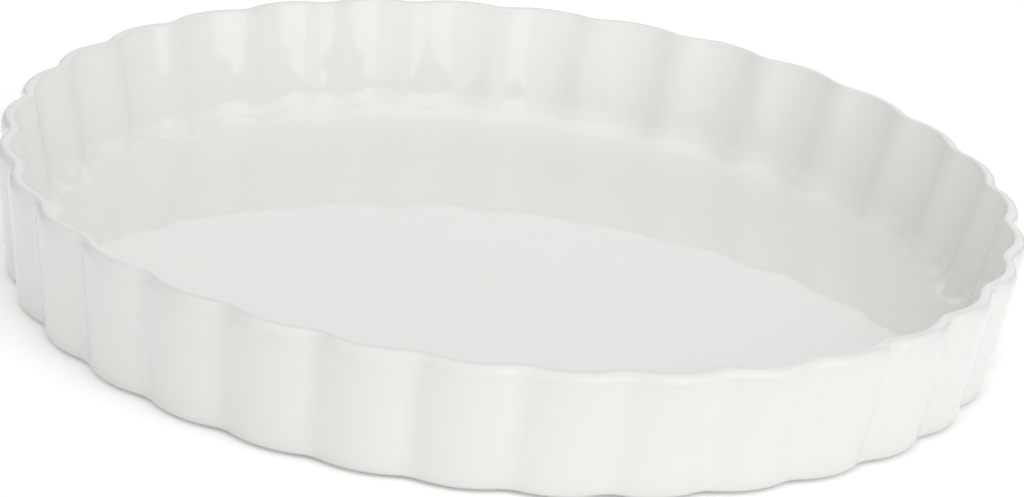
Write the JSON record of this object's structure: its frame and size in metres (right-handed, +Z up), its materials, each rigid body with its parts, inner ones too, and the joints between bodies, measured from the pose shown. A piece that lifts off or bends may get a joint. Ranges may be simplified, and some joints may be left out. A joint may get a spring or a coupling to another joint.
{
  "type": "fluted quiche dish",
  "caption": "Round shallow quiche dish with a fluted, slightly flared wall, a scalloped rounded rim and a flat floor, in glossy white glazed stoneware on a bare foot ring.",
  "frame": {"origin": "on the table plane at the centre of the foot ring", "axes": "+Z up along the dish's axis, +X through a flute's crest"},
  "size_m": [0.279, 0.279, 0.037],
  "materials": {
    "stoneware": "matt, unglazed, fired cream clay",
    "white_glaze": "high gloss, slightly warm white"
  },
  "bodies": {
    "root": {"stoneware_body": "stoneware", "main_glaze": "white_glaze", "underside_glaze": "white_glaze"}
  },
  "joints": []
}
